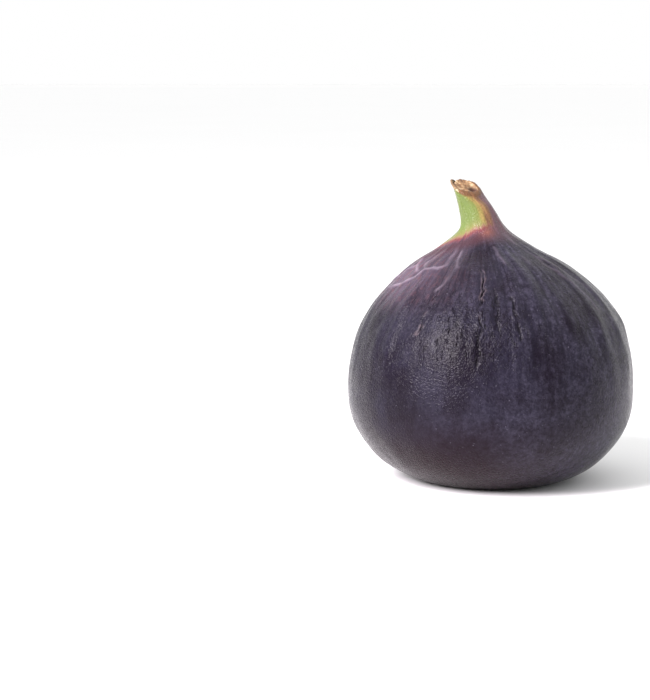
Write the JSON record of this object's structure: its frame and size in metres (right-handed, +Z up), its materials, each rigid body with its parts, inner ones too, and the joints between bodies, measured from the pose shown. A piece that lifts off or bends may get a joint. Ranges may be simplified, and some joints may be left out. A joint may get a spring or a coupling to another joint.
{
  "type": "fresh fig",
  "caption": "Whole fresh black fig with a ribbed, bloomy purple-black skin, a leaning green neck and a cut stalk, standing on its flattened base.",
  "frame": {"origin": "centre of the fig's box at its lowest level, on the surface that the fig stands on", "axes": "+Z up through the fig from its eye to its neck; the neck leans towards -X; -Y is the side that faces the camera in the reference view"},
  "size_m": [0.0566, 0.0566, 0.0593],
  "materials": {
    "skin": "satin purple-black fruit skin with a pale waxy bloom"
  },
  "bodies": {
    "root": {"fig": "skin"}
  },
  "joints": []
}
